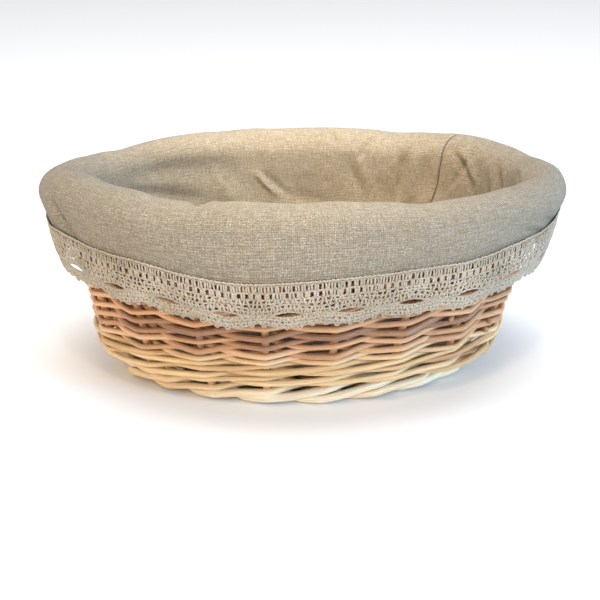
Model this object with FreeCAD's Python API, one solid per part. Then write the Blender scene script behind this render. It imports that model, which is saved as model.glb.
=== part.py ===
import FreeCAD, Part
import math
import os

# Oval willow bread basket with a linen liner and a crochet lace trim. Millimetres.
# X runs along the basket, -Y is the front, Z is up. The origin lies on the table,
# under the middle of the base.

Vector = FreeCAD.Vector
UP = Vector(0, 0, 1)

# Driving dimensions -------------------------------------------------------------

RIM_LENGTH = 280.0  # over the linen roll, end to end
RIM_WIDTH = 184.0  # over the linen roll, front to back
TOTAL_HEIGHT = 113.5  # table to the top of the linen roll

STAKES = 18  # uprights, evenly spaced along the oval
STAKE_DIAMETER = 4.0
SIDE_ROWS = 10  # rows of paired buff weavers
SIDE_ROD = 2.7
UPSETT_ROWS = 2  # rows of three pale rods above the foot
UPSETT_ROD = 2.8
FOOT_ROD = 4.4
BASE_ROWS = 5
BASE_ROD = 2.4
LONG_STICK = 3.6
SHORT_STICK = 6.0
UPSETT_FIRST = 17.4  # height of the first upsett row
UPSETT_PITCH = 8.2
SIDE_FIRST = 32.4  # height of the first row of paired weavers
SIDE_PITCH = 5.6
BASE_FIRST_ROW = 0.19  # the inmost base row's share of a rib's free length
BASE_ROW_STEP = 0.185
GAP = 0.1  # air between two rods that lie together
ARC_SHARE = 0.3  # of a straight run, taken up by the bend at each of its ends
STRAIGHT = 0.002  # a turn under this many radians is no bend

ROLL_REACH = 12.7  # half the width of the linen roll
ROLL_RISE = 12.0  # half its height
BORDER_ROD = 6.9  # rods bundled in the woven border, under the roll
CLOTH = 1.2  # linen with its turnings
LACE = 1.0

# The oval through the middle of the stakes: height, half length, half width.
WALL_LEVELS = [
    (5.75, 91.6, 52.6),
    (20.0, 109.0, 64.5),
    (42.0, 112.0, 75.0),
    (64.0, 117.6, 83.3),
    (92.0, 123.5, 83.9),
]
FOOT_SHIFT = -3.5  # the hand-woven foot stands this far off the rim's middle, along X
STAKE_TOP = 88.5
STAKE_TAIL = 7.0  # the stake's end that is pushed into the base

BASE_HEIGHT = 6.0  # middle of the base sticks
BASE_RIM = (83.0, 45.2)  # half sizes of the oval where the base sticks end
SLATH_LENGTH = 52.0  # half the straight middle of the long sticks
SLATH_WIDTH = 12.0  # half the straight middle of the short sticks
LONG_STICK_PITCH = 7.0
SHORT_STICK_PITCH = 18.0
SHORT_STICKS = 6

# The outline of the linen from its hem up over the border and down to the base:
# half length, half width, height, and how much higher the ends are than that.
HEM = (137.5, 93.6, 88.8, 5.6)
CUFF = (139.4, 93.4, 95.0, 2.4)
WALL_PANEL = [
    (113.6, 69.5, 92.0, 0.0),
    (112.8, 74.0, 80.0, 0.0),
    (110.5, 76.0, 64.0, 0.0),
    (106.0, 69.0, 45.0, 0.0),
    (101.0, 58.2, 23.0, 0.0),
    (94.0, 53.0, 15.5, 0.0),
]
LACE_OUTLINE = [(127.5, 93.3, 64.2, 3.3), (133.6, 94.2, 76.0, 4.6), (137.3, 93.8, 88.2, 5.6)]
PANEL_LEVEL = 13.2  # underside of the liner's base panel
PANEL_THICKNESS = 1.0
PANEL_HALF_LENGTH = 91.5
PANEL_HALF_WIDTH = 50.5

# Shared shapes --------------------------------------------------------------------


def blend(low, high, share):
    return low + (high - low) * share


def wall_at(height):
    """Half length and half width of the stakes' oval at a height."""
    for (z0, a0, b0), (z1, a1, b1) in zip(WALL_LEVELS, WALL_LEVELS[1:]):
        if height <= z1:
            break
    share = (height - z0) / (z1 - z0)
    return blend(a0, a1, share), blend(b0, b1, share)


def even_angles(half_length, half_width, count):
    """Ellipse angles that share its outline into equal lengths, the first at +X."""
    steps = 3600
    lengths = [0.0]
    for i in range(steps):
        angle = 2 * math.pi * (i + 0.5) / steps
        speed = math.hypot(half_length * math.sin(angle), half_width * math.cos(angle))
        lengths.append(lengths[-1] + speed)
    angles = []
    i = 0
    for n in range(count):
        while lengths[i] < lengths[-1] * n / count:
            i += 1
        angles.append(2 * math.pi * i / steps)
    return angles


ANGLES = even_angles(WALL_LEVELS[3][1], WALL_LEVELS[3][2], STAKES)


def middle_at(height):
    """The middle of the basket's oval at a height."""
    below_border = max(0.0, 1 - height / WALL_LEVELS[-1][0])
    return Vector(FOOT_SHIFT * below_border, 0, height)


def on_oval(half_length, half_width, angle, height):
    reach = Vector(half_length * math.cos(angle), half_width * math.sin(angle), 0)
    return middle_at(height) + reach


def outward(half_length, half_width, angle):
    """Level unit vector square to the oval, pointing out."""
    normal = Vector(half_width * math.cos(angle), half_length * math.sin(angle), 0)
    return normal.normalize()


def rounded_path(points):
    """Straight runs joined by tangent arcs, which take a share of the shorter run."""
    edges = []
    last = points[0]
    for before, corner, after in zip(points, points[1:], points[2:]):
        back = before - corner
        ahead = after - corner
        turn = math.pi - back.getAngle(ahead)
        if turn < STRAIGHT:
            continue
        tangent = ARC_SHARE * min(back.Length, ahead.Length)
        radius = tangent / math.tan(turn / 2)
        middle = (back.normalize() + ahead.normalize()).normalize()
        start = corner + back * tangent
        end = corner + ahead * tangent
        top = corner + middle * (radius / math.cos(turn / 2) - radius)
        edges.append(Part.LineSegment(last, start).toShape())
        edges.append(Part.Arc(start, top, end).toShape())
        last = end
    edges.append(Part.LineSegment(last, points[-1]).toShape())
    return Part.Wire(edges)


def rod(path, diameter):
    """A round rod along a path."""
    edge = path.Edges[0]
    start = edge.valueAt(edge.FirstParameter)
    along = edge.tangentAt(edge.FirstParameter)
    section = Part.Wire(Part.Circle(start, along, diameter / 2).toShape())
    return path.makePipeShell([section], True, False)


def bent_rod(points, diameter):
    return rod(rounded_path(points), diameter)


def ring_edge(half_length, half_width, height, end_rise=0.0):
    """A closed oval whose two ends stand end_rise higher than its mean."""
    samples = 36
    points = []
    for i in range(samples):
        angle = 2 * math.pi * i / samples
        point = on_oval(half_length, half_width, angle, height)
        points.append(point + UP * (end_rise * math.cos(2 * angle)))
    curve = Part.BSplineCurve()
    curve.interpolate(points, PeriodicFlag=True)
    return curve.toShape()


def ring_solid(profile):
    """A closed ring whose cross section joins the profile's points in turn."""
    edges = [ring_edge(*place) for place in profile]
    faces = [Part.makeRuledSurface(edges[i - 1], edges[i]) for i in range(len(edges))]
    shell = Part.makeShell(faces)
    shell.sewShape()
    solid = Part.makeSolid(shell)
    if solid.Volume < 0:
        solid.reverse()
    return solid


def thick_ring(outline, thickness):
    """A ring of cloth: the outline is its outer side, the other side lies to its left."""
    inner = []
    for i, (half_length, half_width, height, end_rise) in enumerate(outline):
        before = outline[max(i - 1, 0)]
        after = outline[min(i + 1, len(outline) - 1)]
        run = after[0] - before[0]
        rise = after[2] - before[2]
        scale = thickness / math.hypot(run, rise)
        inner.append(
            (half_length - rise * scale, half_width - rise * scale, height + run * scale, end_rise)
        )
    return ring_solid(outline + inner[::-1])


def save(name, solids):
    shape = solids[0] if len(solids) == 1 else Part.makeCompound(solids)
    shape.exportStep("parts/" + name + ".step")


# The weave ------------------------------------------------------------------------

END_GAP = 2.0  # between a weaver's two ends, behind a stake
ROUNDING = 0.8  # a bend lies this far inside the corner of its path
FOOT_ROUNDING = 2.6  # the same where the stakes turn in under the basket
MOST_LEAN = 1.0  # a stake's lean that its weavers allow for, level run to rise
# Each step of a pattern says where a weaver is at a stake and half way to the next:
# out (1 in front, -1 behind), and up, in rod diameters.
PAIR = [(1, 0.0, 0, 0.59), (-1, 0.0, 0, -0.59)]
WALE = [(1, -0.52, 1, 0.0), (1, 0.52, 0, 1.0), (-1, 0.0, 0, -1.0)]
FOOT_WALE = [(1, -0.52, 1, 0.0), (1, 0.52, 0, 1.0), (-0.6, 1.15, 0, -1.0)]


def woven_rods(ribs, fronts, ups, reaches, diameter, pattern):
    """The weavers of one row. Each goes once round the ribs, all in the same pattern."""
    count = len(ribs)
    period = len(pattern)
    rods = []
    for shift in range(period):
        points = []
        behind = period - 1 - shift
        for k in range(behind, behind + count):
            rib_out, rib_up, mid_out, mid_up = pattern[(k + shift) % period]
            here = k % count
            there = (k + 1) % count
            at_rib = fronts[here] * (rib_out * reaches[here]) + ups[here] * (rib_up * diameter)
            points.append(ribs[here] + at_rib)
            front = (fronts[here] + fronts[there]) * 0.5
            up = (ups[here] + ups[there]) * 0.5
            halfway = (ribs[here] + ribs[there]) * 0.5
            points.append(halfway + front * (mid_out * reaches[here]) + up * (mid_up * diameter))
        closing = points[0] - points[-1]
        points.append(points[-1] + closing * (1 - END_GAP / closing.Length))
        rods.append(bent_rod(points, diameter))
    return rods


def side_row(height, diameter, pattern, rounding=ROUNDING):
    """A row of weavers round the stakes."""
    half_length, half_width = wall_at(height)
    ribs = [on_oval(half_length, half_width, angle, height) for angle in ANGLES]
    fronts = [outward(half_length, half_width, angle) for angle in ANGLES]
    touching = (STAKE_DIAMETER + diameter) / 2 + GAP
    upper_oval = wall_at(height + 1)
    reaches = []
    for angle, rib, front in zip(ANGLES, ribs, fronts):
        lean = (on_oval(upper_oval[0], upper_oval[1], angle, height + 1) - rib).dot(front)
        reaches.append(touching * math.hypot(1, min(lean, MOST_LEAN)) + rounding)
    return woven_rods(ribs, fronts, [UP] * STAKES, reaches, diameter, pattern)


def stake(angle):
    """One upright, from its tail in the base's edge to the underside of the border."""
    levels = WALL_LEVELS[:-1] + [(STAKE_TOP,) + wall_at(STAKE_TOP)]
    points = [on_oval(a, b, angle, z) for z, a, b in levels]
    z, a, b = WALL_LEVELS[0]
    points.insert(0, on_oval(a - STAKE_TAIL, b - STAKE_TAIL, angle, z))
    return bent_rod(points, STAKE_DIAMETER)


# The base -------------------------------------------------------------------------


def base_ribs():
    """The inner and outer end and the diameter of each base rib, in the stakes' order."""
    ribs = []
    middle = middle_at(BASE_HEIGHT)
    for k, angle in enumerate(ANGLES):
        outer = on_oval(BASE_RIM[0], BASE_RIM[1], angle, BASE_HEIGHT)
        side = 1 if outer.x > middle.x else -1
        from_end = min(k, STAKES - k, abs(k - STAKES // 2))
        if from_end <= 1:
            row = round(outer.y / (abs(outer.y) or 1)) * from_end
            inner = middle + Vector(side * SLATH_LENGTH, row * LONG_STICK_PITCH, 0)
            ribs.append((inner, outer, LONG_STICK))
        else:
            column = (SHORT_STICKS - 1) / 2 + 2 - min(k, STAKES - k)
            top = 1 if outer.y > 0 else -1
            inner = middle + Vector(column * SHORT_STICK_PITCH, top * SLATH_WIDTH, 0)
            ribs.append((inner, outer, SHORT_STICK))
    return ribs


def base_sticks(ribs):
    """The long sticks, and the short ones that they are pushed through."""
    half = STAKES // 2
    long_sticks = []
    for k in (-1, 0, 1):
        right = ribs[k]
        left = ribs[half - k]
        long_sticks.append(bent_rod([left[1], left[0], right[0], right[1]], LONG_STICK))
    short_sticks = []
    for k in range(2, 2 + SHORT_STICKS):
        back = ribs[k]
        front = ribs[STAKES - k]
        short_sticks.append(bent_rod([front[1], front[0], back[0], back[1]], SHORT_STICK))
    slits = []
    for row in (-1, 0, 1):
        start = middle_at(BASE_HEIGHT) + Vector(-SLATH_LENGTH, row * LONG_STICK_PITCH, 0)
        slits.append(Part.makeCylinder(LONG_STICK / 2 + GAP, 2 * SLATH_LENGTH, start, Vector(1, 0, 0)))
    short_sticks = [stick.cut(slits).Solids[0] for stick in short_sticks]
    return long_sticks, short_sticks


def base_row(ribs, share):
    """A pair of weavers round the base ribs, at a share of the ribs' free length."""
    places = [inner + (outer - inner) * share for inner, outer, _ in ribs]
    ups = [(outer - inner).normalize() for inner, outer, _ in ribs]
    reaches = [(size + BASE_ROD) / 2 + GAP + ROUNDING for _, _, size in ribs]
    return woven_rods(places, [UP] * len(ribs), ups, reaches, BASE_ROD, PAIR)


# The linen and the lace -----------------------------------------------------------


def liner_outline():
    """The linen's outer side: hem, cuff, over the border, down to the base."""
    middle_length = RIM_LENGTH / 2 - ROLL_REACH
    middle_width = RIM_WIDTH / 2 - ROLL_REACH
    middle_height = TOTAL_HEIGHT - ROLL_RISE
    outline = [HEM, CUFF]
    turns = 10
    for i in range(turns + 1):
        turn = math.pi * i / turns
        out = ROLL_REACH * math.cos(turn)
        height = middle_height + ROLL_RISE * math.sin(turn)
        outline.append((middle_length + out, middle_width + out, height, 0.0))
    return outline + WALL_PANEL


def liner_base_panel():
    oval = Part.Ellipse(middle_at(PANEL_LEVEL), PANEL_HALF_LENGTH, PANEL_HALF_WIDTH)
    return Part.Face(Part.Wire(oval.toShape())).extrude(UP * PANEL_THICKNESS)


# The border -----------------------------------------------------------------------


def hoop(half_length, half_width, height, diameter):
    """A rod bent into an oval, its two ends END_GAP apart."""
    oval = Part.Ellipse(Vector(0, 0, height), half_length, half_width)
    gap = END_GAP / half_width
    return rod(Part.Wire(Part.Edge(oval, gap / 2, 2 * math.pi - gap / 2)), diameter)


def border():
    """The core rod of the border and the six rods laid round it."""
    middle_length = RIM_LENGTH / 2 - ROLL_REACH
    middle_width = RIM_WIDTH / 2 - ROLL_REACH
    reach = BORDER_ROD + 3 * GAP
    height = TOTAL_HEIGHT - CLOTH - 2 * GAP - reach - BORDER_ROD / 2
    core = hoop(middle_length, middle_width, height, BORDER_ROD)
    around = []
    for i in range(6):
        turn = math.pi / 3 * (i + 0.5)
        out = reach * math.cos(turn)
        level = height + reach * math.sin(turn)
        around.append(hoop(middle_length + out, middle_width + out, level, BORDER_ROD))
    return core, around


# The pieces -----------------------------------------------------------------------

os.makedirs("parts", exist_ok=True)

ribs = base_ribs()
long_sticks, short_sticks = base_sticks(ribs)
save("base_long_sticks", long_sticks)
save("base_short_sticks", short_sticks)
for i in range(BASE_ROWS):
    save("base_weave_row_%d" % (i + 1), base_row(ribs, BASE_FIRST_ROW + i * BASE_ROW_STEP))

save("side_stakes", [stake(angle) for angle in ANGLES])

# The foot rods are shaved flat where they stand on the table.
foot_rods = side_row(WALL_LEVELS[0][0], FOOT_ROD, FOOT_WALE, FOOT_ROUNDING)
under_table = Part.makeBox(2 * RIM_LENGTH, 2 * RIM_LENGTH, 10, Vector(-RIM_LENGTH, -RIM_LENGTH, -10))
for i, foot_rod in enumerate(foot_rods):
    save("foot_wale_rod_%d" % (i + 1), foot_rod.cut(under_table).Solids)

for i in range(UPSETT_ROWS):
    row = side_row(UPSETT_FIRST + i * UPSETT_PITCH, UPSETT_ROD, WALE)
    save("upsett_wale_row_%d" % (i + 1), row)
for i in range(SIDE_ROWS):
    row = side_row(SIDE_FIRST + i * SIDE_PITCH, SIDE_ROD, PAIR)
    save("side_weave_row_%02d" % (i + 1), row)

border_core, border_rods = border()
save("border_core_rod", [border_core])
save("border_outer_rods", border_rods)

save("liner_base_panel", [liner_base_panel()])
save("liner_wall_and_cuff", [thick_ring(liner_outline(), CLOTH)])
save("lace_trim", [thick_ring(LACE_OUTLINE, LACE)])
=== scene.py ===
import math

import bpy
import numpy as np
from mathutils import Matrix, Vector


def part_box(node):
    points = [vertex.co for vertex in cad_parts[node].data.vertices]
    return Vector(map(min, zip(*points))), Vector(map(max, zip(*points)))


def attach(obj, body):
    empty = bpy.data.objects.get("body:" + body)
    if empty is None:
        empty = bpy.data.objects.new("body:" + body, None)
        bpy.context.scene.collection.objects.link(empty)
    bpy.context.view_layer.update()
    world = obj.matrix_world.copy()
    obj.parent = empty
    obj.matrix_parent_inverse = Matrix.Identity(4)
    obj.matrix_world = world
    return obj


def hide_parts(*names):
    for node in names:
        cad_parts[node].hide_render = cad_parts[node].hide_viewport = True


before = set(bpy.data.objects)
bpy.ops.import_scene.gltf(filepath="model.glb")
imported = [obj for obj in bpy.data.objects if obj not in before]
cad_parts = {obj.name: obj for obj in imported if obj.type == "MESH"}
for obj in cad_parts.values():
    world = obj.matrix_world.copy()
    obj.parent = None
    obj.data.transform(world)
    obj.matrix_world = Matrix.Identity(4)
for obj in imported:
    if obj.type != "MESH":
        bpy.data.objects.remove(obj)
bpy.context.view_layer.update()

# An oval bread basket: willow rods woven round upright stakes, a linen liner rolled
# over the border, and a crochet trim on the liner's hem. Metres, in the frame's own
# axes: X along the basket, -Y the front, Z up.

MM = 0.001

# Willow
STAKES = 18
STAKE_RADIUS = 2.0 * MM
SIDE_RODS = (1.82 * MM, 1.38 * MM)  # radius of a rod's butt and tip
UPSETT_RODS = (1.80 * MM, 1.25 * MM)
FOOT_RODS = (2.35 * MM, 1.90 * MM)
FOOT_LEVEL = 5.75 * MM
HUG = 1.5 * MM  # half the length over which a rod lies against a stake
ROD_OVERRUN = 5.0 * MM  # how far a rod's end runs past the stake that holds it
CUT_END_REACH = 3.0 * MM  # how far along the row a cut end leans when it shows outside
CUT_END_SHARE = 0.16  # the share of rods whose cut end shows outside
UPSETT_LIFT = 0.6 * MM  # how far the upsett rows are above their CAD nodes' middle
STAKE_BEND = 8.0 * MM  # the height from which a stake follows the wall
STAKE_TOP = 88.5 * MM
STAKE_TAIL = 7.0 * MM  # how far a stake's foot reaches into the base
STAKE_STEPS = 14
# The oval through the middle of the stakes: height, half length, half width, and how
# far its middle is off X = 0, as the foot stands a little to the left of the rim
WALL_LEVELS = np.array([
    (5.75, 92.0, 54.0, -5.5),
    (20.0, 109.0, 65.0, -3.1),
    (42.0, 112.0, 75.0, -1.9),
    (64.0, 117.6, 83.3, -1.1),
    (92.0, 123.5, 83.9, 0.0),
]) * MM
BORDER_ROD = 5.7 * MM  # thickness of a rod of the border
BORDER_OUTER_RODS = 6
BORDER_TURNS = 3  # how often an outer rod winds round the core
BORDER_GAP = 0.002  # the share of the round that a border rod leaves open at each end

# Each step of a pattern says where a weaver is at a stake and half way to the next:
# out (1 in front, -1 behind) and up, in rod diameters.
PAIR = [(1, -0.32, 0, 0.52), (-1, 0.1, 0, -0.50)]
WALE = [(1, -0.45, 1, 0.0), (1, 0.5, 0, 0.9), (-1, 0.0, 0, -0.9)]
FOOT_WALE = [(1, -0.5, 1, 0.0), (1, 0.5, 0, 0.95), (-0.6, 1.1, 0, -0.95)]

# Linen: ovals on the cloth's outer side, each its half length, half width, height and
# how much higher its ends are than that
HEM = (135.4, 93.6, 87.2, 5.6)
CUFF = (138.0, 93.4, 95.0, 2.4)
ROLL_REACH = 12.7
ROLL_RISE = 12.0
ROLL_MIDDLE = (127.3, 79.3, 101.5)
WALL = [
    (113.4, 68.0, 92.0, 0.0),
    (112.4, 70.5, 80.0, 0.0),
    (109.2, 70.9, 64.0, 0.0),
    (103.4, 65.6, 45.0, -0.6),
    (98.4, 56.6, 23.0, -1.2),
    (94.0, 53.0, 15.5, 0.0),
    (90.0, 49.0, 14.9, 0.0),
]
LINER_COLUMNS = 760
LINER_ROWS = 116
CLOTH = 0.55 * MM
# The side seam: an angle round the oval, radians, and millimetres from the hem
SEAM_TOP = (0.785, 33.0)
SEAM_LOW = (0.800, 77.0)
SEAM_START = 32  # millimetres from the hem above which the seam pulls the cloth in
SEAM_ARM = 110.0  # millimetres round the wall for each radian, near the seam
SEAM_DRAWN = (0.033, 0.090)  # metres from the hem: the material draws it through these
# The base panel: half length and half width, its height, and its columns and rings
PANEL_HALF = (91.5, 50.5)
PANEL_TOP = 14.4
PANEL_COLUMNS = 200
PANEL_ROWS = 40

# Lace: its repeats round the hem, its depth, ovals down it like the linen's, and how
# far the first repeat is turned from +X, in repeats
REPEATS = 24
LACE_DEPTH = 25.0
LACE_RINGS = [(136.4, 94.4, 88.6, 5.6), (133.8, 94.8, 76.2, 4.6), (128.6, 93.9, 64.2, 3.3)]
LACE_PHASE = 0.25
POST_BOW = 0.3  # how far a post bows off the basket, millimetres

# Humps and hollows of the rim, and dips of the hem: degrees, width, millimetres
RIM_BUMPS = [(209, 20, 5.0), (243, 9, -1.8), (300, 17, -1.9), (147, 20, -2.8), (39, 15, 3.0), (0, 9, 1.3)]
HEM_DIPS = [(256, 22, -2.9), (196, 14, -1.5), (336, 10, 0.8)]

# Folds and puckers of the linen: from and to (degrees round the oval and millimetres
# from the hem), how far they stand out, and their width, millimetres
CREASES = [
    (206, 53, 228, 51, 1.8, 9.0),
    (146, 54, 112, 62, -2.6, 8.0),
    (150, 42, 112, 46, 1.2, 8.0),
    (82.5, 36, 80, 48, -1.8, 1.5),
    (84.5, 36, 82, 48, 1.1, 2.2),
    (70, 44, 72.5, 55, -1.8, 1.4),
    (59, 52, 59, 80, -2.8, 3.0),
    (55, 52, 54.5, 80, 2.0, 2.6),
    (51, 54, 50, 76, -1.6, 2.2),
    (42.5, 47, 31, 66, -1.8, 2.4),
    (33, 47, 40, 67, -1.4, 2.4),
    (38, 48, 29, 62, 1.6, 2.2),
    (24, 50, 17, 70, 1.8, 3.0),
    (20, 50, 12, 72, -2.2, 2.8),
    (104, 66, 98, 79, 2.6, 1.7),
    (101.5, 67, 94, 81, -1.7, 2.2),
    (92, 82, 80, 86, -1.5, 4.0),
    (3, 48, -8, 52, -2.2, 1.5),
    (6, 45, -6, 47, 1.2, 2.0),
    (246.5, 35, 247.5, 58, -2.8, 3.8),
    (249.8, 38, 250.2, 54, 1.7, 2.2),
    (207, 16, 214, 2, -2.4, 2.2),
    (203, 17, 210, 5, 1.5, 3.0),
    (320, 9, 330, 2, -1.6, 1.6),
    (328, 12, 338, 3, -1.8, 1.7),
    (300, 18, 325, 12, -0.9, 4.0),
    (150, 66, 122, 80, -1.5, 4.0),
    (118, 62, 112, 82, 1.3, 3.5),
    (72, 60, 66, 84, 1.6, 4.0),
    (76, 58, 70, 84, -1.4, 3.5),
]

CAMERA_PLACE = Vector((-1.6, -529.4, 255.2)) * MM
CAMERA_TARGET = Vector((-1.7, 0.0, 34.9)) * MM
CAMERA_LENS = 61.4
CAMERA_ROLL = -0.006

FLOOR_HALF = 4.0
LIGHT_AIM = Vector((0, 0, 0.06))  # the point that the round lamps face
SPOT_WAY = Vector((0.0, 0.37, -0.42))  # the way that the spot shines


# Ovals ------------------------------------------------------------------------------


class Oval:
    """An ellipse whose outline is walked in even steps, anticlockwise from +X."""

    def __init__(self, half_length, half_width):
        self.half = (half_length, half_width)
        steps = 3600
        angle = 2 * math.pi * (np.arange(steps) + 0.5) / steps
        speed = np.hypot(half_length * np.sin(angle), half_width * np.cos(angle))
        self.lengths = np.concatenate([[0], np.cumsum(speed)]) * (2 * math.pi / steps)
        self.angles = 2 * math.pi * np.arange(steps + 1) / steps
        self.length = self.lengths[-1]

    def angle_at(self, place):
        """The ellipse angle at a distance along the outline."""
        turns = np.floor(place / self.length)
        inside = np.interp(place - turns * self.length, self.lengths, self.angles)
        return inside + 2 * math.pi * turns


def middle_at(height):
    """How far the middle of the basket's oval stands off X = 0 at a height."""
    return np.interp(height, WALL_LEVELS[:, 0], WALL_LEVELS[:, 3])


def on_oval(half_length, half_width, angle, height):
    x = middle_at(height) + half_length * np.cos(angle)
    y = half_width * np.sin(angle)
    return np.stack([x, y + 0 * x, height + 0 * x], axis=-1)


def wall_at(height):
    """Half length and half width of the stakes' oval at a height."""
    return tuple(np.interp(height, WALL_LEVELS[:, 0], WALL_LEVELS[:, i]) for i in (1, 2))


def outward(half_length, half_width, angle):
    normal = np.stack([half_width * np.cos(angle), half_length * np.sin(angle), 0 * angle], axis=-1)
    return normal / np.linalg.norm(normal, axis=-1, keepdims=True)


def bell(distance, width):
    return np.exp(-((distance / width) ** 2))


def waves(rng, angle, sizes):
    """A smooth random line round the oval: one wave of each count, sizes[count] high."""
    total = 0 * angle
    for count, size in sizes.items():
        total = total + size * np.cos(count * angle + rng.uniform(0, 2 * math.pi))
    return total


# Meshes -----------------------------------------------------------------------------


class Pile:
    """Tubes gathered into one mesh. Its UV map runs along each tube in metres and up
    and down its girth from 0 to 1, and its tone attribute differs from rod to rod."""

    def __init__(self):
        self.points = []
        self.faces = []
        self.uvs = []
        self.tones = []
        self.count = 0

    def add(self, points, faces, uvs, tone):
        self.points.append(points)
        self.faces.extend((np.asarray(faces) + self.count).tolist())
        self.uvs.append(uvs)
        self.tones.append(np.full(len(points), tone))
        self.count += len(points)

    def tube(self, path, radii, ups, sides=8, tone=0.5, start=0.0, squash=1.0):
        """A tube along a path, closed at both ends, squashed along ups if not round."""
        path = np.asarray(path, dtype=float)
        count = len(path)
        along = np.gradient(path, axis=0)
        along /= np.linalg.norm(along, axis=1)[:, None]
        side = np.cross(along, ups)
        side /= np.linalg.norm(side, axis=1)[:, None]
        top = np.cross(side, along)
        turn = np.arange(sides) / sides
        across = np.cos(2 * math.pi * turn)[None, :, None]
        upright = np.sin(2 * math.pi * turn)[None, :, None]
        radii = np.broadcast_to(radii, count)[:, None, None]
        rings = path[:, None, :] + radii * (side[:, None, :] * across + top[:, None, :] * upright * squash)
        steps = np.linalg.norm(np.diff(path, axis=0), axis=1)
        lengths = np.concatenate([[0], np.cumsum(steps)])
        uvs = np.empty((count, sides, 2))
        uvs[..., 0] = start + lengths[:, None]
        uvs[..., 1] = 1 - np.abs(1 - 2 * turn)
        ring = np.arange(count - 1)[:, None] * sides
        here = np.arange(sides)[None, :]
        after = (here + 1) % sides
        faces = np.stack([ring + here, ring + after, ring + sides + after, ring + sides + here], -1)
        self.faces.append([self.count + i for i in range(sides - 1, -1, -1)])
        last = self.count + (count - 1) * sides
        self.faces.append([last + i for i in range(sides)])
        self.add(rings.reshape(-1, 3), faces.reshape(-1, 4), uvs.reshape(-1, 2), tone)

    def make(self, name, material):
        mesh = bpy.data.meshes.new(name)
        mesh.from_pydata(np.concatenate(self.points).tolist(), [], self.faces)
        return dress(mesh, name, material, np.concatenate(self.uvs), np.concatenate(self.tones))


def dress(mesh, name, material, uvs, tones):
    """Gives a mesh its UV map, tone and material, and puts it in the scene."""
    corners = np.empty(len(mesh.loops), dtype=np.int64)
    mesh.loops.foreach_get("vertex_index", corners)
    layer = mesh.uv_layers.new(name="Lay")
    layer.data.foreach_set("uv", uvs[corners].ravel())
    tone = mesh.attributes.new("tone", "FLOAT", "POINT")
    tone.data.foreach_set("value", tones)
    mesh.polygons.foreach_set("use_smooth", np.ones(len(mesh.polygons), dtype=bool))
    mesh.materials.append(material)
    mesh.update()
    piece = bpy.data.objects.new(name, mesh)
    bpy.context.scene.collection.objects.link(piece)
    return piece


def cut_corners(points, rounds):
    """Rounds the corners of an open path and keeps its two ends."""
    for _ in range(rounds):
        early = 0.75 * points[:-1] + 0.25 * points[1:]
        late = 0.25 * points[:-1] + 0.75 * points[1:]
        between = np.stack([early, late], axis=1).reshape(-1, points.shape[1])
        points = np.concatenate([points[:1], between[1:-1], points[-1:]])
    return points


# Materials --------------------------------------------------------------------------


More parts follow.
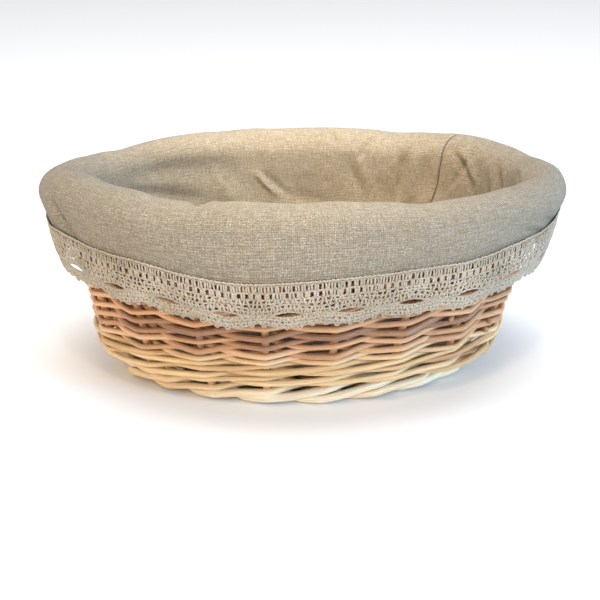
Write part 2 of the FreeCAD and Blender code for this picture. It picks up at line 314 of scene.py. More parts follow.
class Shader:
    """A node material built step by step."""

    def __init__(self, name):
        self.material = bpy.data.materials.new(name)
        self.material.use_nodes = True
        self.tree = self.material.node_tree
        self.tree.nodes.clear()
        self.surface = self.tree.nodes.new("ShaderNodeBsdfPrincipled")
        output = self.tree.nodes.new("ShaderNodeOutputMaterial")
        self.tree.links.new(self.surface.outputs[0], output.inputs["Surface"])

    def put(self, node, socket, value):
        if isinstance(value, bpy.types.NodeSocket):
            self.tree.links.new(value, node.inputs[socket])
        else:
            node.inputs[socket].default_value = value

    def lay(self):
        return self.tree.nodes.new("ShaderNodeUVMap").outputs["UV"]

    def place(self):
        return self.tree.nodes.new("ShaderNodeTexCoord").outputs["Object"]

    def attribute(self, name):
        node = self.tree.nodes.new("ShaderNodeAttribute")
        node.attribute_name = name
        return node.outputs["Fac"]

    def math(self, operation, first, second=0.0, clamp=False):
        node = self.tree.nodes.new("ShaderNodeMath")
        node.operation = operation
        node.use_clamp = clamp
        self.put(node, 0, first)
        self.put(node, 1, second)
        return node.outputs[0]

    def split(self, vector):
        node = self.tree.nodes.new("ShaderNodeSeparateXYZ")
        self.put(node, 0, vector)
        return node.outputs

    def join(self, x, y, z=0.0):
        node = self.tree.nodes.new("ShaderNodeCombineXYZ")
        for socket, value in enumerate((x, y, z)):
            self.put(node, socket, value)
        return node.outputs[0]

    def stretch(self, vector, factors):
        node = self.tree.nodes.new("ShaderNodeVectorMath")
        node.operation = "MULTIPLY"
        self.put(node, 0, vector)
        self.put(node, 1, factors)
        return node.outputs[0]

    def noise(self, vector, scale=1.0, detail=2.0):
        node = self.tree.nodes.new("ShaderNodeTexNoise")
        self.put(node, "Vector", vector)
        self.put(node, "Scale", scale)
        self.put(node, "Detail", detail)
        return node.outputs["Fac"]

    def spots(self, vector, scale=1.0):
        node = self.tree.nodes.new("ShaderNodeTexVoronoi")
        self.put(node, "Vector", vector)
        self.put(node, "Scale", scale)
        return node.outputs["Distance"]

    def fit(self, value, low, high, to_low=0.0, to_high=1.0):
        node = self.tree.nodes.new("ShaderNodeMapRange")
        for socket, number in enumerate((value, low, high, to_low, to_high)):
            self.put(node, socket, number)
        return node.outputs[0]

    def ramp(self, value, stops):
        node = self.tree.nodes.new("ShaderNodeValToRGB")
        self.put(node, 0, value)
        node.color_ramp.elements.remove(node.color_ramp.elements[1])
        for i, (position, colour) in enumerate(stops):
            stop = node.color_ramp.elements[0] if i == 0 else node.color_ramp.elements.new(position)
            stop.position = position
            stop.color = (*colour, 1)
        return node.outputs[0]

    def mix(self, share, first, second, blend="MIX"):
        node = self.tree.nodes.new("ShaderNodeMix")
        node.data_type = "RGBA"
        node.blend_type = blend
        self.put(node, 0, share)
        for socket, colour in ((6, first), (7, second)):
            self.put(node, socket, colour if isinstance(colour, bpy.types.NodeSocket) else (*colour, 1))
        return node.outputs[2]

    def finish(self, colour, roughness, height, depth, gloss):
        bump = self.tree.nodes.new("ShaderNodeBump")
        self.put(bump, "Height", height)
        bump.inputs["Distance"].default_value = depth
        self.put(self.surface, "Base Color", colour)
        self.put(self.surface, "Roughness", roughness)
        self.put(self.surface, "Normal", bump.outputs[0])
        for name, value in gloss.items():
            self.put(self.surface, name, value)
        return self.material


LINEN = [
    (0.0, (0.222, 0.190, 0.140)),
    (0.5, (0.285, 0.250, 0.193)),
    (1.0, (0.362, 0.324, 0.263)),
]
BUFF = [
    (0.00, (0.200, 0.072, 0.025)),
    (0.25, (0.370, 0.160, 0.062)),
    (0.50, (0.510, 0.245, 0.100)),
    (0.75, (0.650, 0.345, 0.158)),
    (1.00, (0.820, 0.520, 0.280)),
]
TAN = [
    (0.00, (0.380, 0.180, 0.070)),
    (0.50, (0.600, 0.360, 0.160)),
    (1.00, (0.800, 0.560, 0.310)),
]
PALE = [
    (0.00, (0.440, 0.230, 0.085)),
    (0.30, (0.600, 0.365, 0.152)),
    (0.60, (0.740, 0.515, 0.252)),
    (1.00, (0.850, 0.680, 0.410)),
]
# The foot's pale willow, painted lighter than the rows' pale willow: painted light that offsets the shade
# the foot sits in where it meets the floor.
LIT_PALE = [
    (0.00, (0.820, 0.590, 0.330)),
    (0.40, (0.940, 0.790, 0.540)),
    (1.00, (0.980, 0.920, 0.750)),
]
ECRU = [
    (0.30, (0.355, 0.290, 0.210)),
    (0.52, (0.500, 0.430, 0.335)),
    (0.75, (0.640, 0.580, 0.485)),
]


def willow(name, colours, grain_along=None):
    """Peeled willow with a streaky grain along the rod, a few knots and a soft gloss.
    Without a rod's own UV map, grain_along says how the grain is stretched in space."""
    s = Shader(name)
    if grain_along is None:
        along, girth, _ = s.split(s.lay())
        tone = s.attribute("tone")
        shift = s.math("MULTIPLY", tone, 91.0)
        lay = s.join(along, girth, shift)
        broad = s.noise(s.stretch(lay, (22.0, 1.2, 1.0)))
        streak = s.noise(s.stretch(lay, (45.0, 9.0, 1.0)), detail=4.0)
        fibre = s.noise(s.stretch(lay, (320.0, 38.0, 1.0)))
        knots = s.spots(s.stretch(lay, (19.0, 1.5, 1.0)))
    else:
        tone = 0.5
        place = s.place()
        broad = s.noise(place, 30.0)
        streak = s.noise(s.stretch(place, grain_along), 1.0, 4.0)
        fibre = s.noise(s.stretch(place, grain_along), 4.0)
        knots = s.spots(place, 60.0)
    shade = s.math("ADD", s.math("MULTIPLY", tone, 0.90), s.math("MULTIPLY", broad, 0.55))
    shade = s.math("SUBTRACT", shade, 0.26, clamp=True)
    colour = s.ramp(shade, colours)
    dark = s.fit(streak, 0.30, 0.62, 0.55, 1.0)
    stain = s.ramp(dark, [(0.0, (0.45, 0.36, 0.30)), (1.0, (1.0, 1.0, 1.0))])
    colour = s.mix(1.0, colour, stain, "MULTIPLY")
    colour = s.mix(s.fit(fibre, 0.35, 0.75, 0.0, 0.22), colour, (0.95, 0.80, 0.60))
    colour = s.mix(s.fit(knots, 0.10, 0.04), colour, (0.12, 0.05, 0.02))
    roughness = s.fit(streak, 0.3, 0.7, 0.50, 0.34)
    height = s.math("ADD", s.math("MULTIPLY", streak, 0.7), s.math("MULTIPLY", fibre, 0.3))
    return s.finish(colour, roughness, height, 0.00035, {"Specular IOR Level": 0.55})


def linen(name, seam=None):
    """Natural linen in plain weave: uneven threads, pale flecks and a soft, mottled tint, with painted
    shade in the gaps between threads and painted light on their crossings.
    seam is two places of its lay that a dark seam runs through, from the first one on."""
    s = Shader(name)
    lay = s.lay()
    wobble = s.fit(s.noise(lay, 160.0), 0.0, 1.0, -0.0004, 0.0004)
    along, across, _ = s.split(lay)
    along = s.math("ADD", along, wobble)
    across = s.math("ADD", across, wobble)
    pitch = math.pi / (0.95 * MM)
    warp = s.math("SINE", s.math("MULTIPLY", along, pitch))
    weft = s.math("SINE", s.math("MULTIPLY", across, pitch))
    over = s.fit(s.math("MULTIPLY", warp, weft), -0.35, 0.35)
    on_top = s.math("MULTIPLY", s.math("ABSOLUTE", warp), over)
    below = s.math("MULTIPLY", s.math("ABSOLUTE", weft), s.math("SUBTRACT", 1.0, over))
    weave = s.math("ADD", on_top, below)
    threads = s.join(along, across)
    slub_up = s.noise(s.stretch(threads, (950.0, 170.0, 1.0)), detail=3.0)
    slub_across = s.noise(s.stretch(threads, (150.0, 950.0, 1.0)), detail=3.0)
    slubs = s.math("ADD", s.math("MULTIPLY", slub_up, 0.5), s.math("MULTIPLY", slub_across, 0.5))
    fleck = s.noise(s.stretch(lay, (1250.0, 1250.0, 1.0)), detail=2.0)
    mottle = s.noise(s.stretch(lay, (26.0, 26.0, 1.0)), detail=3.0)
    colour = s.ramp(s.fit(slubs, 0.36, 0.64), LINEN)
    # Painted shade and light: the weave's gaps are darkened and its thread crossings lightened, standing
    # in for the shade and light of the weave's relief.
    gap = s.fit(weave, 0.05, 0.7, 0.72, 1.06)
    colour = s.mix(1.0, colour, s.join(gap, gap, gap), "MULTIPLY")
    colour = s.mix(s.fit(fleck, 0.53, 0.70, 0.0, 0.42), colour, (0.66, 0.61, 0.53))
    colour = s.mix(s.fit(fleck, 0.44, 0.28, 0.0, 0.38), colour, (0.15, 0.115, 0.08))
    tint = s.ramp(mottle, [(0.3, (0.93, 0.92, 0.90)), (0.7, (1.0, 0.985, 0.95))])
    colour = s.mix(1.0, colour, tint, "MULTIPLY")
    height = s.math("ADD", s.math("MULTIPLY", weave, 0.7), s.math("MULTIPLY", fleck, 0.8))
    if seam:
        (x0, y0), (x1, y1) = seam
        slope = (x1 - x0) / (y1 - y0)
        middle = s.math("ADD", s.math("MULTIPLY", across, slope), x0 - slope * y0)
        wander = s.fit(s.noise(s.stretch(lay, (0.0, 70.0, 0.0))), 0.0, 1.0, -0.0010, 0.0010)
        away = s.math("ABSOLUTE", s.math("SUBTRACT", s.math("ADD", along, wander), middle))
        mark = s.math("MULTIPLY", s.fit(away, 0.0006, 0.0002), s.fit(across, y0, y0 + 0.004))
        colour = s.mix(s.math("MULTIPLY", mark, 0.65), colour, (0.12, 0.08, 0.05))
        height = s.math("SUBTRACT", height, s.math("MULTIPLY", mark, 2.0))
    gloss = {"Sheen Weight": 0.12, "Sheen Roughness": 0.6, "Specular IOR Level": 0.2}
    return s.finish(colour, 0.92, height, 0.0006, gloss)


def cotton(name):
    """Ecru crochet cotton: a plied thread with a soft, matt surface."""
    s = Shader(name)
    along, girth, _ = s.split(s.lay())
    twist = s.math("ADD", s.math("MULTIPLY", along, 7000.0), s.math("MULTIPLY", girth, 6.0))
    ply = s.math("SINE", twist)
    fuzz = s.noise(s.place(), 2600.0, 3.0)
    blotch = s.noise(s.place(), 60.0)
    shade = s.math("ADD", s.math("MULTIPLY", fuzz, 0.6), s.math("MULTIPLY", blotch, 0.4))
    colour = s.ramp(shade, ECRU)
    height = s.math("ADD", s.math("MULTIPLY", ply, 0.3), fuzz)
    gloss = {"Sheen Weight": 0.15, "Sheen Roughness": 0.5, "Specular IOR Level": 0.2}
    return s.finish(colour, 0.9, height, 0.0004, gloss)


# Willow pieces ----------------------------------------------------------------------

rim_oval = Oval(*WALL_LEVELS[3][1:3])
STAKE_ANGLES = rim_oval.angle_at(rim_oval.length * np.arange(STAKES) / STAKES)
STAKE_LEAN = np.random.default_rng(11).normal(0, 0.012, STAKES)
UP = np.array([0, 0, 1.0])


def stake_angles(height):
    return STAKE_ANGLES + STAKE_LEAN * (height / (60 * MM) - 0.6)


def middle_height(name):
    low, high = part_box(name)
    return (low[2] + high[2]) / 2


class Row:
    """Where a row of weavers runs: the stakes it goes round, and which way is out."""

    def __init__(self, height, thickness, rng, wander):
        half_length, half_width = wall_at(height)
        angles = stake_angles(height)
        self.flatten = np.array([1 / half_length**2, 1 / half_width**2, 0])
        self.thickness = thickness
        self.fronts = outward(half_length, half_width, angles)
        self.alongs = np.stack([-self.fronts[:, 1], self.fronts[:, 0], 0 * angles], axis=-1)
        drift = waves(rng, angles, {2: wander * 0.4, 3: wander * 0.5, 5: wander * 0.4, 7: wander * 0.3})
        self.ribs = on_oval(half_length, half_width, angles, height) + drift[:, None] * MM * UP
        upper = on_oval(*wall_at(height + MM), angles, height + MM)
        lower = on_oval(*wall_at(height - MM), angles, height - MM)
        lean = np.sum((upper - lower) * self.fronts, axis=1) / (2 * MM)
        self.reaches = (STAKE_RADIUS + thickness / 2) * np.hypot(1, np.minimum(lean, 1.0)) + 0.1 * MM

    def turns(self, pattern, shift, rng):
        """A weaver's corners: three at each stake and after it. Also where it is behind."""
        points = []
        behind = []
        for k in range(STAKES):
            rib_out, rib_up, mid_out, mid_up = pattern[(k + shift) % len(pattern)]
            if rib_out < 0:
                behind.append(k)
            there = (k + 1) % STAKES
            rise = UP * self.thickness * (rib_up + rng.normal(0, 0.13))
            at_rib = self.ribs[k] + self.fronts[k] * rib_out * self.reaches[k] + rise
            hug = self.alongs[k] * HUG
            front = self.fronts[k] + self.fronts[there]
            front /= np.linalg.norm(front)
            gap = np.linalg.norm(self.ribs[there] - self.ribs[k])
            bulge = gap * abs(np.cross(self.fronts[k], self.fronts[there])[2]) / 8
            out = mid_out * self.reaches[k] + bulge + rng.normal(0, 0.15) * MM
            rise = UP * self.thickness * (mid_up + rng.normal(0, 0.16))
            halfway = (self.ribs[k] + self.ribs[there]) / 2 + front * out + rise
            points.append([at_rib - hug, at_rib + hug, halfway])
        return np.array(points), behind

    def pieced(self, pile, points, behind, radii, rng, sides):
        """Lays a weaver as two rods, their ends tucked behind stakes."""
        first = int(rng.integers(len(behind)))
        second = (first + len(behind) // 2) % len(behind)
        for start, end in ((behind[first], behind[second]), (behind[second], behind[first])):
            stakes = (end - start) % STAKES
            body = np.concatenate([points[(start + i) % STAKES] for i in range(stakes)])
            if rng.random() < CUT_END_SHARE:
                aside = self.fronts[start] * self.reaches[start] * 1.9
                aside = aside - self.alongs[start] * CUT_END_REACH
            else:
                aside = self.fronts[start] * self.thickness * -0.9
            lead = points[start][0] + aside - self.alongs[start] * ROD_OVERRUN
            tail = points[end][1] + self.alongs[end] * ROD_OVERRUN
            path = cut_corners(np.concatenate([[lead], body, points[end][:1], [tail]]), 2)
            share = np.linspace(0, 1, len(path))
            butt, tip = radii if rng.random() < 0.5 else radii[::-1]
            size = (butt + (tip - butt) * share) * rng.uniform(0.88, 1.08)
            size = size * (1 + 0.05 * np.sin(share * stakes * 2.3 + rng.uniform(0, 6)))
            tone = rng.uniform(0, 1)
            pile.tube(path, size, path * self.flatten, sides, tone, start=rng.uniform(0, 9))


def weave_row(names, height, pattern, radii, material, rng, sides=8, wander=0.45):
    """One row of weavers, as many as the pattern has steps: one piece for each name."""
    row = Row(height, radii[0] + radii[1], rng, wander)
    piles = [Pile() for _ in names]
    for shift in range(len(pattern)):
        points, behind = row.turns(pattern, shift, rng)
        row.pieced(piles[shift % len(piles)], points, behind, radii, rng, sides)
    return [pile.make("willow_" + name, material) for pile, name in zip(piles, names)]


def make_stakes(material):
    """The uprights, from their tails in the base's edge up under the border."""
    pile = Pile()
    rng = np.random.default_rng(23)
    heights = [FOOT_LEVEL, FOOT_LEVEL, *np.linspace(STAKE_BEND, STAKE_TOP, STAKE_STEPS)]
    tails = [STAKE_TAIL] + [0] * (len(heights) - 1)
    for k in range(STAKES):
        points = []
        for height, tail in zip(heights, tails):
            half_length, half_width = wall_at(height)
            angle = stake_angles(height)[k]
            points.append(on_oval(half_length - tail, half_width - tail, angle, height))
        path = cut_corners(np.array(points), 1)
        ups = outward(*rim_oval.half, STAKE_ANGLES[k] + 0 * path[:, 0])
        size = STAKE_RADIUS * rng.uniform(0.92, 1.05) * np.linspace(1.05, 0.9, len(path))
        pile.tube(path, size, ups, 10, tone=rng.uniform(0.55, 1), start=rng.uniform(0, 9))
    return pile.make("willow_stakes", material)


def make_border(material, names):
    """The border under the linen: a core rod, and six rods that wind round it."""
    rng = np.random.default_rng(31)
    turn = 2 * math.pi * np.linspace(BORDER_GAP, 1 - BORDER_GAP, 400)
    core, around = Pile(), Pile()
    for i in range(BORDER_OUTER_RODS + 1):  # the last one is the core
        spin = 2 * math.pi / BORDER_OUTER_RODS * (i + 0.5) + BORDER_TURNS * turn
        reach = 0.0 if i == BORDER_OUTER_RODS else BORDER_ROD * 1.02
        out = reach * np.cos(spin)
        up = reach * np.sin(spin)
        middle = np.array(ROLL_MIDDLE[:2])[:, None] * MM + out
        level = ROLL_MIDDLE[2] - 0.5 + rim_tilt(turn) + bumps(turn, RIM_BUMPS)
        path = on_oval(*middle, turn, level * MM + up)
        pile = core if i == BORDER_OUTER_RODS else around
        pile.tube(path, BORDER_ROD / 2, outward(*middle, turn), 10, rng.uniform(0, 1), start=i)
    return [core.make(names[0], material), around.make(names[1], material)]


# Linen pieces -----------------------------------------------------------------------

hem_oval = Oval(HEM[0] * MM, HEM[1] * MM)


def rim_tilt(angle):
    """How the rim tilts and dips along the whole basket, millimetres."""
    return -0.55 * np.cos(angle) - 0.89 * np.sin(angle) - 1.5 * np.cos(2 * angle)


def bumps(angle, places):
    """Smooth bumps round the oval, each at its degrees, as wide and high as it says."""
    total = 0 * angle
    for degrees, width, size in places:
        away = (np.degrees(angle) - degrees + 180) % 360 - 180
        total = total + size * bell(away, width)
    return total


def hem_wave(angle):
    """Small waves of the hem: out and up, millimetres."""
    rng = np.random.default_rng(5)
    out = waves(rng, angle, {7: 0.35, 11: 0.3, 17: 0.2})
    up = waves(rng, angle, {6: 0.4, 9: 0.4, 13: 0.3})
    return out, up


def liner_rings():
    """Ovals of the linen from the hem up, over the border and down to the base."""
    rings = [HEM, CUFF]
    turns = 12
    for i in range(turns + 1):
        turn = math.pi * i / turns
        out = ROLL_REACH * math.cos(turn)
        height = ROLL_MIDDLE[2] + ROLL_RISE * math.sin(turn)
        rings.append((ROLL_MIDDLE[0] + out, ROLL_MIDDLE[1] + out, height, 0.0))
    return np.array(rings + WALL)


def resample(rings, count):
    """Even steps along a smooth line through the rings. Returns them and the lengths."""
    rings = cut_corners(rings, 3)
    steps = np.hypot(np.diff(rings[:, 0]), np.diff(rings[:, 2]))
    lengths = np.concatenate([[0], np.cumsum(steps)])
    places = np.linspace(0, lengths[-1], count)
    even = [np.interp(places, lengths, rings[:, i]) for i in range(4)]
    return np.stack(even, axis=-1), places


def creases(angle, place):
    """How far folds and puckers push the cloth out of its smooth shape, millimetres."""
    reach = 1.95  # millimetres round the rim for each degree
    total = np.zeros(np.broadcast(angle, place).shape)
    for a0, s0, a1, s1, depth, width in CREASES:
        x = (np.degrees(angle) - a0 + 180) % 360 - 180
        px, py = x * reach, place - s0
        dx, dy = (a1 - a0) * reach, s1 - s0
        share = np.clip((px * dx + py * dy) / (dx * dx + dy * dy), 0, 1)
        distance = np.hypot(px - share * dx, py - share * dy)
        fade = np.sin(math.pi * np.clip(0.15 + 0.7 * share, 0, 1))
        total = total + depth * bell(distance, width) * fade
    return total


def seam_angle(place):
    """The seam's angle round the oval at a place, millimetres up from the hem."""
    (top, from_top), (low, from_low) = SEAM_TOP, SEAM_LOW
    return top + (low - top) * (place - from_top) / (from_low - from_top)


def seam_lay(place):
    """Where the seam is on the cloth's lay, metres, at a place up from the hem."""
    along = np.interp(seam_angle(place / MM), hem_oval.angles, hem_oval.lengths)
    return (float(along), place)


def seam_pull(angle, place):
    """How far the seam pulls the cloth in and raises one side of it, millimetres."""
    away = (angle - seam_angle(place)) * SEAM_ARM
    step = 0.35 * np.tanh(away / 1.2) * bell(away, 6.0)
    return (step - 0.5 * bell(away, 1.6)) * (place > SEAM_START)


def smooth_liner(rings, places, angle):
    """The liner's points before its folds, and the way out of the cloth at each one."""
    half_length, half_width, height, end_rise = (rings[None, :, i] for i in range(4))
    rise = bell(np.minimum(height - ROLL_MIDDLE[2], 0), 22.0)
    wave_up = hem_wave(angle)[1]
    near_hem = bell(places[None, :], 16.0)
    on_rim = np.clip((height - 86.0) / 16.0, 0, 1)
    on_cuff = np.clip((28.0 - places[None, :]) / 20.0, 0, 1)
    z = height + end_rise * np.cos(2 * angle) + rim_tilt(angle) * rise + wave_up * near_hem
    z = z + bumps(angle, RIM_BUMPS) * on_rim + bumps(angle, HEM_DIPS) * on_cuff
    x = middle_at(height * MM) / MM + half_length * np.cos(angle)
    y = half_width * np.sin(angle)
    points = np.stack([x + 0 * z, y + 0 * z, z], axis=-1)
    along = np.roll(points, -1, axis=0) - np.roll(points, 1, axis=0)
    normals = np.cross(along, np.gradient(points, axis=1))
    return points, normals / np.linalg.norm(normals, axis=-1, keepdims=True)


def liner_dents(angle, place):
    """How far the cloth stands off its smooth shape: waves, folds and the seam."""
    rng = np.random.default_rng(3)
    on_roll = bell(place - 42.0, 20.0)
    in_wall = np.clip((place - 66.0) / 12.0, 0, 1)
    soft = waves(rng, angle + 0.004 * (place - 60), {9: 0.35, 14: 0.3, 23: 0.22, 31: 0.12})
    fold = waves(rng, angle + 0.006 * (place - 60), {6: 0.7, 11: 0.7, 16: 0.5, 27: 0.25})
    wave_out = hem_wave(angle)[0] * bell(place, 16.0)
    smooth = soft * on_roll + fold * in_wall + wave_out
    return smooth + creases(angle, place) + seam_pull(angle, place)


def ring_faces(columns, rows):
    """Four-cornered faces between columns of points, closed round the oval."""
    here = np.arange(columns)[:, None] * rows
    there = (np.arange(columns)[:, None] + 1) % columns * rows
    row = np.arange(rows - 1)[None, :]
    corners = [here + row, there + row, there + row + 1, here + row + 1]
    return np.stack(corners, axis=-1).reshape(-1, 4)


def cloth_piece(name, points, faces, lay, material):
    """A cloth of points and faces, with its thickness behind them."""
    mesh = bpy.data.meshes.new(name)
    mesh.from_pydata(points.tolist(), [], faces)
    piece = dress(mesh, name, material, lay, np.full(len(points), 0.5))
    thick = piece.modifiers.new("cloth", "SOLIDIFY")
    thick.thickness = CLOTH
    thick.offset = -1
    return piece


def close_lay(mesh, girth):
    """The lay starts again at 0 where the ring closes: there it carries on instead."""
    corners = np.empty(len(mesh.loops) * 2, dtype=np.float32)
    layer = mesh.uv_layers["Lay"].data
    layer.foreach_get("uv", corners)
    along = corners.reshape(-1, 4, 2)[:, :, 0]
    closing = along.max(axis=1, keepdims=True) - along > girth / 2
    along[closing] += girth
    layer.foreach_set("uv", corners)


def make_liner(material):
    """One strip of linen from the hem, over the border and down the inside."""
    rings, places = resample(liner_rings(), LINER_ROWS)
    pitch = hem_oval.length / LINER_COLUMNS
    column = np.arange(LINER_COLUMNS)
    angle = hem_oval.angle_at(hem_oval.length * column / LINER_COLUMNS)[:, None]
    points, normals = smooth_liner(rings, places, angle)
    points = (points + normals * liner_dents(angle, places[None, :])[..., None]) * MM
    lay = np.stack(np.meshgrid(column * pitch, places * MM, indexing="ij"), axis=-1)
    faces = ring_faces(LINER_COLUMNS, LINER_ROWS).tolist()
    piece = cloth_piece("linen_liner", points.reshape(-1, 3), faces, lay.reshape(-1, 2), material)
    close_lay(piece.data, hem_oval.length)
    return piece


def make_panel(material):
    """The liner's base panel, laid on the woven base with a few soft wrinkles."""
    angle = 2 * math.pi * np.arange(PANEL_COLUMNS) / PANEL_COLUMNS
    share = (np.arange(PANEL_ROWS) + 0.3) / (PANEL_ROWS - 1 + 0.3)
    middle = middle_at(PANEL_TOP * MM) / MM
    x = middle + PANEL_HALF[0] * share[None, :] * np.cos(angle[:, None])
    y = PANEL_HALF[1] * share[None, :] * np.sin(angle[:, None])
    z = PANEL_TOP + 0.35 * np.sin(x / 11 + 0.8 * np.sin(y / 17)) + 0.25 * np.sin(y / 7 + x / 23)
    points = np.stack([x, y, z], axis=-1).reshape(-1, 3) * MM
    faces = ring_faces(PANEL_COLUMNS, PANEL_ROWS)[:, [0, 3, 2, 1]].tolist()
    faces.append([i * PANEL_ROWS for i in range(PANEL_COLUMNS)])
    return cloth_piece("linen_base_panel", points, faces, points[:, :2], material)


# Lace -------------------------------------------------------------------------------

lace_oval = Oval(LACE_RINGS[0][0] * MM, LACE_RINGS[0][1] * MM)
REPEAT = lace_oval.length / MM / REPEATS


def lace_point(along, down, out):
    """A point of the lace: millimetres along the hem, down from it and off the basket."""
    angle = lace_oval.angle_at((along + LACE_PHASE * REPEAT) * MM)
    share = down / LACE_DEPTH
    weights = [(1 - share) * (1 - 2 * share), 4 * share * (1 - share), share * (2 * share - 1)]
    half_length, half_width, height, end_rise = (
        sum(weight * ring[i] for weight, ring in zip(weights, LACE_RINGS)) for i in range(4)
    )
    wave_out, wave_up = hem_wave(angle)
    lift = rim_tilt(angle) * 0.72 + wave_up + bumps(angle, HEM_DIPS)
    sway = 0.9 * share**2 * np.sin(2 * math.pi * along / REPEAT * 0.5 + 1.1 * np.sin(3 * angle))
    x = half_length * np.cos(angle)
    y = half_width * np.sin(angle)
    points = np.stack([x, y, height + end_rise * np.cos(2 * angle) + lift], axis=-1)
    away = outward(half_length, half_width, angle)
    return (points + away * (out + sway + wave_out + 0.25)[..., None]) * MM, away


def bottom_edge(along):
    share = along / REPEAT % 1
    return 21.7 + 3.0 * np.sin(math.pi * share) ** 0.8


def slot(along):
    """1 at the middle of a repeat's long slot, falling to 0 at its two ends."""
    share = along / REPEAT % 1
    return np.clip(1 - ((share - 0.5) / 0.23) ** 2, 0, 1)


def slot_top(along):
    return 16.9 - 1.45 * slot(along)


def slot_foot(along):
    return 17.9 + 1.35 * slot(along)


def net_row(along):
    share = along / REPEAT % 1
    return 12.2 + 1.1 * np.cos(2 * math.pi * share)


def between(first, second, share):
    """A line a share of the way from one line of the lace to another."""
    return lambda along: first(along) + (second(along) - first(along)) * share


def make_lace(material):
    """Crochet worked round the hem: an edging, rows of openings, shells and picots."""
    pile = Pile()
    rng = np.random.default_rng(17)
    whole = REPEAT * REPEATS

    def thread(along, down, out, radius):
        """A thread along a line of the lace, a little flattened."""
        points, away = lace_point(along, down, out)
        tone = rng.uniform(0, 1)
        pile.tube(points, radius * MM, away, 6, tone=tone, start=rng.uniform(0, 9), squash=0.6)

    def row(down, radius, stitch, out=0.0):
        """A row of chain stitches right round the basket."""
        along = np.linspace(0, whole, int(whole / 0.8))
        turn = 2 * math.pi * along / stitch
        level = down(along) + 0.1 * np.sin(turn + rng.uniform(0, 6))
        level = level + 0.14 * np.sin(along / 3.7 + rng.uniform(0, 6)) * np.sin(along / 11.3)
        off = out + 0.16 * np.sin(turn / 2) + 0.12 * np.sin(along / 2.9 + rng.uniform(0, 6))
        thread(along, level, off, radius * (1 + 0.22 * np.cos(turn)))

    def post(start, top, end, foot, radius):
        """A short thread from one row down to the next."""
        share = np.linspace(0, 1, 4)
        along = start + (end - start) * share + rng.normal(0, 0.22)
        down = top + (foot - top) * share
        off = POST_BOW * np.sin(math.pi * share) + rng.normal(0, 0.1)
        thread(along, down, off, radius * rng.uniform(0.88, 1.12))

    def level(down):
        return lambda along: down + 0 * along

    row(level(0.1), 0.48, 2.1, out=0.45)
    row(level(1.15), 0.40, 1.7)
    row(level(4.8), 0.52, 1.7)
    row(level(8.4), 0.55, 2.2)
    row(between(level(8.4), net_row, 0.52), 0.50, 1.9)
    row(net_row, 0.52, 2.0)
    row(between(net_row, slot_top, 0.5), 0.52, 2.1)
    row(slot_top, 0.56, 1.6)
    row(slot_foot, 0.56, 1.6)
    for share in (0.3, 0.66):
        row(between(slot_foot, bottom_edge, share), 0.5, 1.5, out=0.25)
    row(bottom_edge, 0.55, 2.3)

    def band(start, count, top, foot, radius, lean=0.0, tuft=1, spread=0.0):
        """A repeat's posts from one row to the next: leaning to and fro, or in tufts."""
        for i in range(count):
            middle = start + REPEAT * (i + 0.5) / count
            tilt = lean * (1 if i % 2 else -1)
            for j in range(tuft):
                along = middle + spread * (j - (tuft - 1) / 2)
                end = along + tilt + rng.normal(0, 0.2)
                post(along - tilt, top(along), end, foot(end), radius)

    for n in range(REPEATS):
        start = n * REPEAT
        band(start, 20, level(1.0), level(4.8), 0.52, lean=0.1)
        band(start, 8, level(4.8), level(8.4), 0.55, tuft=3, spread=0.85)
        band(start, 15, level(8.4), net_row, 0.60, lean=0.55)
        band(start, 19, net_row, slot_top, 0.57, lean=0.5)
        band(start, 22, slot_foot, between(slot_foot, bottom_edge, 0.55), 0.60, lean=0.45)
        band(start, 19, between(slot_foot, bottom_edge, 0.45), bottom_edge, 0.66, lean=0.45)
        for i in range(5):
            along = start + REPEAT * (i + 0.5) / 5
            turn = np.linspace(0, 2 * math.pi, 9)
            reach = rng.uniform(0.7, 1.05)
            loop_along = along + reach * np.sin(turn) + rng.normal(0, 0.3)
            loop_down = bottom_edge(along) + 0.7 - reach * np.cos(turn)
            thread(loop_along, loop_down, 0 * turn + rng.normal(0, 0.15), 0.5)
    return pile.make("crochet_lace", material)


# Everything together ----------------------------------------------------------------

buff = willow("buff willow", BUFF)
tan = willow("tan willow", TAN)
pale = willow("pale willow", PALE)
# The foot's willow is given painted light, to make up for the shade at the foot.
lit_pale = willow("pale willow of the foot with painted light", LIT_PALE)
plain_pale = willow("pale willow of the base", PALE, (60.0, 60.0, 60.0))
cloth = linen("linen of the liner", [seam_lay(place) for place in SEAM_DRAWN])
panel_cloth = linen("linen of the base panel")
crochet = cotton("crochet cotton")
def stand_in(piece, node):
    """A piece that takes the place of a CAD node."""
    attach(piece, "root")
    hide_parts(node)


def nodes_called(start):
    return sorted(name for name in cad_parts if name.startswith(start))


def stand_in_row(names, slot_name, *row, **more):
    """Weaves a row and puts it in the place of its CAD nodes."""
    for piece, name in zip(weave_row(names, *row, **more), names):
        stand_in(piece, name)


for i, name in enumerate(nodes_called("side_weave")):
    material = tan if i == 0 else buff
    rng = np.random.default_rng(100 + i)
    stand_in_row([name], "buff_willow", middle_height(name), PAIR, SIDE_RODS, material, rng)
for i, name in enumerate(nodes_called("upsett")):
    height = middle_height(name) + UPSETT_LIFT
    rng = np.random.default_rng(200 + i)
    stand_in_row([name], "pale_willow", height, WALE, UPSETT_RODS, pale, rng)
foot_row = (FOOT_LEVEL, FOOT_WALE, FOOT_RODS, lit_pale, np.random.default_rng(300))
stand_in_row(nodes_called("foot"), "pale_willow", *foot_row, sides=12, wander=0.0)
stand_in(make_stakes(buff), "side_stakes")
core, outer = make_border(buff, ["willow_border_core", "willow_border_rods"])
stand_in(core, "border_core_rod")
stand_in(outer, "border_outer_rods")

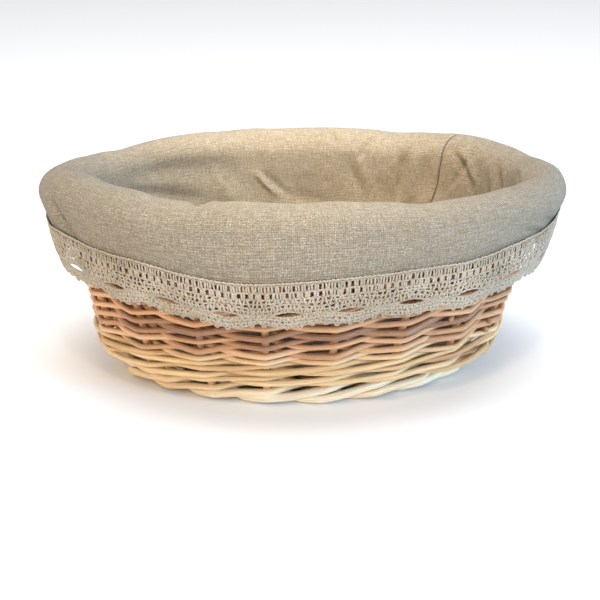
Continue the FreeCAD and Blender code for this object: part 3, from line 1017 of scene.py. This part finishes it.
liner = make_liner(cloth)
stand_in(liner, "liner_wall_and_cuff")
panel = make_panel(panel_cloth)
stand_in(panel, "liner_base_panel")
lace = make_lace(crochet)
stand_in(lace, "lace_trim")

for name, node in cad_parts.items():
    if name.startswith("base"):
        node.data.materials.clear()
        node.data.materials.append(plain_pale)


# Floor, lights and camera -------------------------------------------------------------

scene = bpy.context.scene


def make_floor():
    mesh = bpy.data.meshes.new("floor")
    corners = [(x * FLOOR_HALF, y * FLOOR_HALF, 0) for x, y in ((-1, -1), (1, -1), (1, 1), (-1, 1))]
    mesh.from_pydata(corners, [], [(0, 1, 2, 3)])
    paper = bpy.data.materials.new("white paper")
    paper.use_nodes = True
    surface = paper.node_tree.nodes["Principled BSDF"].inputs
    surface["Base Color"].default_value = (0.93, 0.93, 0.93, 1)
    surface["Roughness"].default_value = 0.9
    surface["Specular IOR Level"].default_value = 0.0
    mesh.materials.append(paper)
    floor = bpy.data.objects.new("floor", mesh)
    scene.collection.objects.link(floor)


def put_lamp(light, place, way, power, colour):
    """Hangs a light at a place, shining along the way given."""
    light.energy = power
    light.color = colour
    lamp = bpy.data.objects.new(light.name, light)
    scene.collection.objects.link(lamp)
    lamp.location = place
    lamp.rotation_euler = way.to_track_quat("-Z", "Y").to_euler()


def soft_light(name, place, size, power, colour):
    """A round lamp that faces the basket."""
    light = bpy.data.lights.new(name, "AREA")
    light.shape = "DISK"
    light.size = size
    put_lamp(light, place, LIGHT_AIM - Vector(place), power, colour)


def spot_light(name, place, way, power, colour):
    """A narrow, soft-edged lamp that lights the inside of the back wall."""
    light = bpy.data.lights.new(name, "SPOT")
    light.spot_size = math.radians(31)
    light.spot_blend = 1.0
    light.shadow_soft_size = 0.06
    put_lamp(light, place, way, power, colour)


def make_sky():
    world = bpy.data.worlds.new("studio")
    scene.world = world
    world.use_nodes = True
    background = world.node_tree.nodes["Background"].inputs
    background["Color"].default_value = (0.97, 0.98, 1.0, 1)
    background["Strength"].default_value = 0.80


def make_camera():
    """A camera at the photograph's viewing angle, turned a little about its own axis."""
    ahead = (CAMERA_TARGET - CAMERA_PLACE).normalized()
    right = ahead.cross(Vector((0, 0, 1))).normalized()
    up = right.cross(ahead)
    rolled_right = right * math.cos(CAMERA_ROLL) + up * math.sin(CAMERA_ROLL)
    rolled_up = up * math.cos(CAMERA_ROLL) - right * math.sin(CAMERA_ROLL)
    data = bpy.data.cameras.new("camera")
    data.lens = CAMERA_LENS
    data.sensor_width = 36
    data.clip_start = 0.01
    camera = bpy.data.objects.new("camera", data)
    scene.collection.objects.link(camera)
    turn = Matrix((rolled_right, rolled_up, -ahead)).transposed()
    camera.matrix_world = Matrix.Translation(CAMERA_PLACE) @ turn.to_4x4()
    return camera


make_floor()
soft_light("top", (0.0, -0.20, 1.6), 1.0, 15.0, (1.0, 0.98, 0.95))
soft_light("key", (-0.95, -1.15, 0.55), 0.6, 7.5, (1.0, 0.66, 0.30))
soft_light("window", (1.35, -0.80, 0.5), 0.6, 19.0, (0.36, 0.66, 1.0))
spot_light("inside", (0.0, -0.30, 0.50), SPOT_WAY, 28.0, (1.0, 0.82, 0.58))
make_sky()
scene.camera = make_camera()
scene.view_settings.view_transform = "Standard"
